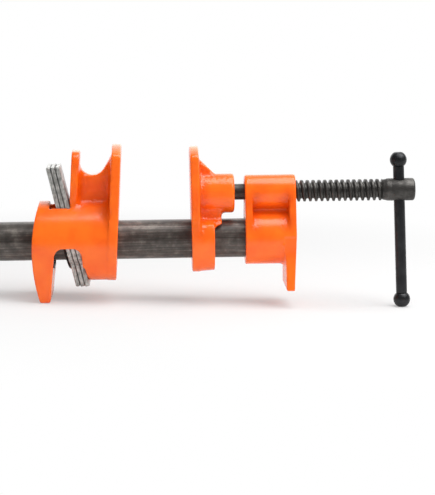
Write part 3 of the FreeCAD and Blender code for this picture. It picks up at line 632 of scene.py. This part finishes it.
handleShape = {
    "rod": 3.8,  # radius
    "ball": 5.8,
    "upper": 20.5,  # ball centres, from the screw's axis
    "lower": -76.6,
    "seat": 4.2,  # ball's inner flat, from its centre
    "flat": 5.1,  # ball's outer flat
    "tenon": 2.2,
    "tenonReach": 4,
    "lean": 1.6,  # degrees
}


def placeOnRod(piece):  # pieces are turned about X, and the rod stands with its top leaning to the jaws
    station = screwShape["tip"] + screwShape["hole"]
    movePiece(piece, station, screwHeight, -pi / 2 - radians(handleShape["lean"]))


def makeRod():
    s = handleShape
    high, low, reach = s["upper"] - s["seat"], s["lower"] + s["seat"], s["tenonReach"]
    piece = drawProfile(
        "t_bar_rod",
        [(low - reach, 0), (low - reach, s["tenon"]), (low, s["tenon"]), (low, s["rod"] - 0.4),
         (low + 0.5, s["rod"]), (low + 30, s["rod"]), (high - 30, s["rod"]), (high - 0.5, s["rod"]),
         (high, s["rod"] - 0.4), (high, s["tenon"]), (high + reach, s["tenon"]), (high + reach, 0)],
    )
    turnProfile(piece, 48)
    placeOnRod(piece)
    return piece


def makeBall(name, centre, side):
    s = handleShape
    seat, flat, rounds = s["seat"], s["flat"], 22
    first, last = acos(-seat / s["ball"]), acos(flat / s["ball"])
    points = [(-seat, s["tenon"] + 0.1), (-seat, 3.7)]
    for i in range(rounds + 1):
        angle = first + (last - first) * i / rounds
        points.append((s["ball"] * cos(angle), s["ball"] * sin(angle)))
    points += [(flat, 2.25), (flat - 0.18, 2.1), (flat - 0.05, 1.6), (flat + 0.05, 0)]
    piece = drawProfile(name, [(centre + side * along, radius) for along, radius in points])
    turnProfile(piece, 48)
    placeOnRod(piece)
    return piece


rod = makeRod()
dressPiece(rod, "handle", oxideHandle, ["t_bar"], 30)
upperBall = makeBall("t_bar_ball_upper_turned", handleShape["upper"], 1)
dressPiece(upperBall, "handle", oxideHandle, ["t_bar_ball_upper"], 40)
lowerBall = makeBall("t_bar_ball_lower_turned", handleShape["lower"], -1)
dressPiece(lowerBall, "handle", oxideHandle, ["t_bar_ball_lower"], 40)
print("T-bar turned")


# ---- clutch plates


plateShape = {
    "flatWithin": 0.5,  # degrees between triangles of one face
    "rollOver": 0.9,  # mm, edges drawn in by the punch
    "edgeFrom": 50,  # degrees
}


def makePlate(node, body):
    s = plateShape
    piece = copyNode(node, node + "_punched")
    pick(piece)
    bpy.ops.object.mode_set(mode="EDIT")
    bpy.ops.mesh.select_all(action="SELECT")
    bpy.ops.mesh.dissolve_limited(angle_limit=radians(s["flatWithin"]))
    bpy.ops.object.mode_set(mode="OBJECT")
    useModifier(
        piece, "BEVEL", width=s["rollOver"] * mm, segments=2, limit_method="ANGLE",
        angle_limit=radians(s["edgeFrom"]),
    )
    dressPiece(piece, body, zinc, [node], 30)


for node, body in (
    ("clutch_plate_1", "rear_clutch_plate"),
    ("clutch_plate_2", "middle_clutch_plate"),
    ("clutch_plate_3", "front_clutch_plate"),
):
    makePlate(node, body)
print("plates bevelled")


# ---- clutch spring


springShape = {
    "wire": 0.75,  # radius
    "coil": 18.685,
    "seat": 142.1,
    "plateSide": (149.28, 0, -0.54),
    "tilt": 13,
    "turned": (135, 765),  # degrees round the pipe
    "crossing": (405, 90),  # degrees, where it leaves the seat's tilt for the plate's, and over how much
}


def springPoint(angle):
    s = springShape
    across, up = s["coil"] * cos(radians(angle)), s["coil"] * sin(radians(angle))
    tilt = radians(s["tilt"])
    atSeat = Vector((s["seat"], across, up))
    atPlate = Vector(s["plateSide"]) + Vector((-sin(tilt) * up, across, cos(tilt) * up))
    leaves, over = s["crossing"]
    share = min(max((angle - leaves) / over, 0), 1)
    share = share * share * (3 - 2 * share)
    return atSeat.lerp(atPlate, share) * mm


def makeSpring():
    nothingSelected()
    bpy.ops.curve.primitive_nurbs_path_add()
    curve = bpy.context.object
    curve.name = "clutch_spring_wire"
    data = curve.data
    data.splines.clear()
    spline = data.splines.new("NURBS")
    first, last = springShape["turned"]
    angles = range(first, last + 1, 10)
    spline.points.add(len(angles) - 1)
    for point, angle in zip(spline.points, angles):
        point.co = (*springPoint(angle), 1)
    spline.order_u = 4
    spline.use_endpoint_u = True
    data.bevel_depth = springShape["wire"] * mm
    data.bevel_resolution = 3
    data.resolution_u = 3
    data.use_fill_caps = True
    pick(curve)
    bpy.ops.object.convert(target="MESH")
    piece = bpy.context.object
    piece.location = (0, 0, 0)
    return piece


spring = makeSpring()
dressPiece(spring, None, springWire, ["clutch_spring"], 60)
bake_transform(spring)
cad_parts["screw_retaining_pin"].data.materials.clear()
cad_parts["screw_retaining_pin"].data.materials.append(pinSteel)
print("spring wound:", len(spring.data.polygons))


# ---- floor, light and camera


studio = {
    "middle": (0.25, 0, 0),  # metres, the clamp's middle
    "footAt": (136.4, -39.5),  # mm, tail's leg and the T-bar's lower ball stand on the floor
    "ballAt": (381.4, -49.9),
    "floorSize": 60,
    "floorGap": 0.0002,
    "shadowMiddle": (0.25, 0.12, -0.045),
    "shadowReach": (0.14, 0.42),  # metres from there, where the floor goes over to plain white
    "paper": 0.44,  # as the camera sees it, with the glow added
    "paperBounce": 0.86,
    "glow": 0.34,
    "paperEdge": (-0.1, -0.45),  # metres, how far to the front shiny surfaces still mirror the paper
    "softBox": (0.92, 1.15),
    "softBoxAt": (0.7, -0.18, 0.93),
    "softBoxPower": 16.5,
    "worldLight": 0.5,
    "backLight": 1.8,  # what shiny surfaces mirror of the bright backdrop
    "darkSide": 0.06,  # and of the room behind the camera
    "backdrop": (0.3, 0.9),  # share of a direction that points to the back, from dark to bright
}


def makeFloor():
    s = studio
    nothingSelected()
    rise = (s["ballAt"][1] - s["footAt"][1]) / (s["ballAt"][0] - s["footAt"][0])
    bpy.ops.mesh.primitive_grid_add(x_subdivisions=4, y_subdivisions=4, size=s["floorSize"])
    floor = bpy.context.object
    floor.name = "studio_floor"
    for vertex in floor.data.vertices:
        vertex.co.x += s["middle"][0]
        vertex.co.z = s["footAt"][1] * mm + rise * (vertex.co.x - s["footAt"][0] * mm) - s["floorGap"]
    material = bpy.data.materials.new("WhitePaperSweep")
    material.use_nodes = True
    tree = material.node_tree
    tree.nodes.clear()
    ray = addNode(tree, "LightPath").outputs
    seen = addMath(tree, "MAXIMUM", ray["Is Camera Ray"], ray["Is Glossy Ray"])
    seen = addMath(tree, "MAXIMUM", seen, ray["Is Transmission Ray"])
    paper = addNode(tree, "BsdfDiffuse", {"Color": (s["paper"], s["paper"], s["paper"], 1)})
    glow = addNode(tree, "Emission", {"Color": (1, 1, 1, 1), "Strength": s["glow"]})
    lifted = addNode(tree, "AddShader", {}, {0: paper.outputs[0], 1: glow.outputs[0]})
    white = addNode(tree, "Emission", {"Color": (1, 1, 1, 1), "Strength": 1})
    place = addNode(tree, "TexCoord").outputs["Object"]
    fromClamp = addNode(tree, "VectorMath", {"operation": "DISTANCE", 1: s["shadowMiddle"]}, {0: place})
    away = addNode(
        tree, "MapRange",
        {"interpolation_type": "SMOOTHSTEP", "From Min": s["shadowReach"][0], "From Max": s["shadowReach"][1]},
        {"Value": fromClamp.outputs["Value"]},
    )
    shown = addNode(
        tree, "MixShader", {}, {0: away.outputs["Result"], 1: lifted.outputs[0], 2: white.outputs[0]}
    )
    forward = addNode(tree, "SeparateXYZ", {}, {0: place}).outputs["Y"]
    mirroredDark = addMath(tree, "MULTIPLY", addRange(tree, forward, *s["paperEdge"]), ray["Is Glossy Ray"])
    room = addNode(tree, "Emission", {"Color": (1, 1, 1, 1), "Strength": s["darkSide"]})
    shown = addNode(tree, "MixShader", {}, {0: mirroredDark, 1: shown.outputs[0], 2: room.outputs[0]})
    bounce = addNode(tree, "BsdfDiffuse", {"Color": (s["paperBounce"], s["paperBounce"], s["paperBounce"], 1)})
    mixed = addNode(tree, "MixShader", {}, {0: seen, 1: bounce.outputs[0], 2: shown.outputs[0]})
    addNode(tree, "OutputMaterial", {}, {"Surface": mixed.outputs[0]})
    floor.data.materials.append(material)


def makeLight():
    s = studio
    world = bpy.data.worlds.new("StudioSurround")
    bpy.context.scene.world = world
    world.use_nodes = True
    tree = world.node_tree
    tree.nodes.clear()
    ray = addNode(tree, "LightPath").outputs
    seen = addMath(tree, "MAXIMUM", ray["Is Camera Ray"], ray["Is Transmission Ray"])
    towards = addNode(tree, "SeparateXYZ", {}, {0: addNode(tree, "TexCoord").outputs["Generated"]})
    room = addNode(
        tree, "MapRange",
        {"interpolation_type": "SMOOTHSTEP", "From Min": s["backdrop"][0], "From Max": s["backdrop"][1],
         "To Min": s["darkSide"], "To Max": s["backLight"]},
        {"Value": towards.outputs["Y"]},
    )
    mirrored = addNode(tree, "Mix", {"data_type": "FLOAT", "A": s["worldLight"]},
                       {"Factor": ray["Is Glossy Ray"], "B": room.outputs["Result"]})
    strength = addNode(tree, "Mix", {"data_type": "FLOAT", "B": 1},
                       {"Factor": seen, "A": mirrored.outputs["Result"]})
    back = addNode(tree, "Background", {"Color": (1, 1, 1, 1)}, {"Strength": strength.outputs["Result"]})
    addNode(tree, "OutputWorld", {}, {"Surface": back.outputs[0]})
    towardsClamp = Vector(s["middle"]) - Vector(s["softBoxAt"])
    bpy.ops.object.light_add(
        type="AREA", location=s["softBoxAt"], rotation=towardsClamp.to_track_quat("-Z", "Y").to_euler()
    )
    box = bpy.context.object
    box.name = "softBoxOverhead"
    box.data.shape = "RECTANGLE"
    box.data.size, box.data.size_y = s["softBox"]
    box.data.energy = s["softBoxPower"]


cameraPlace = {
    "standsAt": (0.2097, -1.2857, 0.185),
    "looksAt": (0.2543, 0, -0.00665),
    "roll": -0.65,
    "lens": 137.4,
}


def makeCamera():
    c = cameraPlace
    bpy.ops.object.camera_add(location=c["standsAt"])
    camera = bpy.context.object
    camera.name = "photoCamera"
    aim = Vector(c["looksAt"]) - Vector(c["standsAt"])
    turn = aim.to_track_quat("-Z", "Y") @ Quaternion((0, 0, 1), radians(c["roll"]))
    camera.rotation_euler = turn.to_euler()
    camera.data.lens = c["lens"]
    camera.data.sensor_width = 36
    camera.data.clip_end = 100
    bpy.context.scene.camera = camera


makeFloor()
makeLight()
makeCamera()
bpy.context.scene.view_settings.view_transform = "Standard"
print("studio ready")
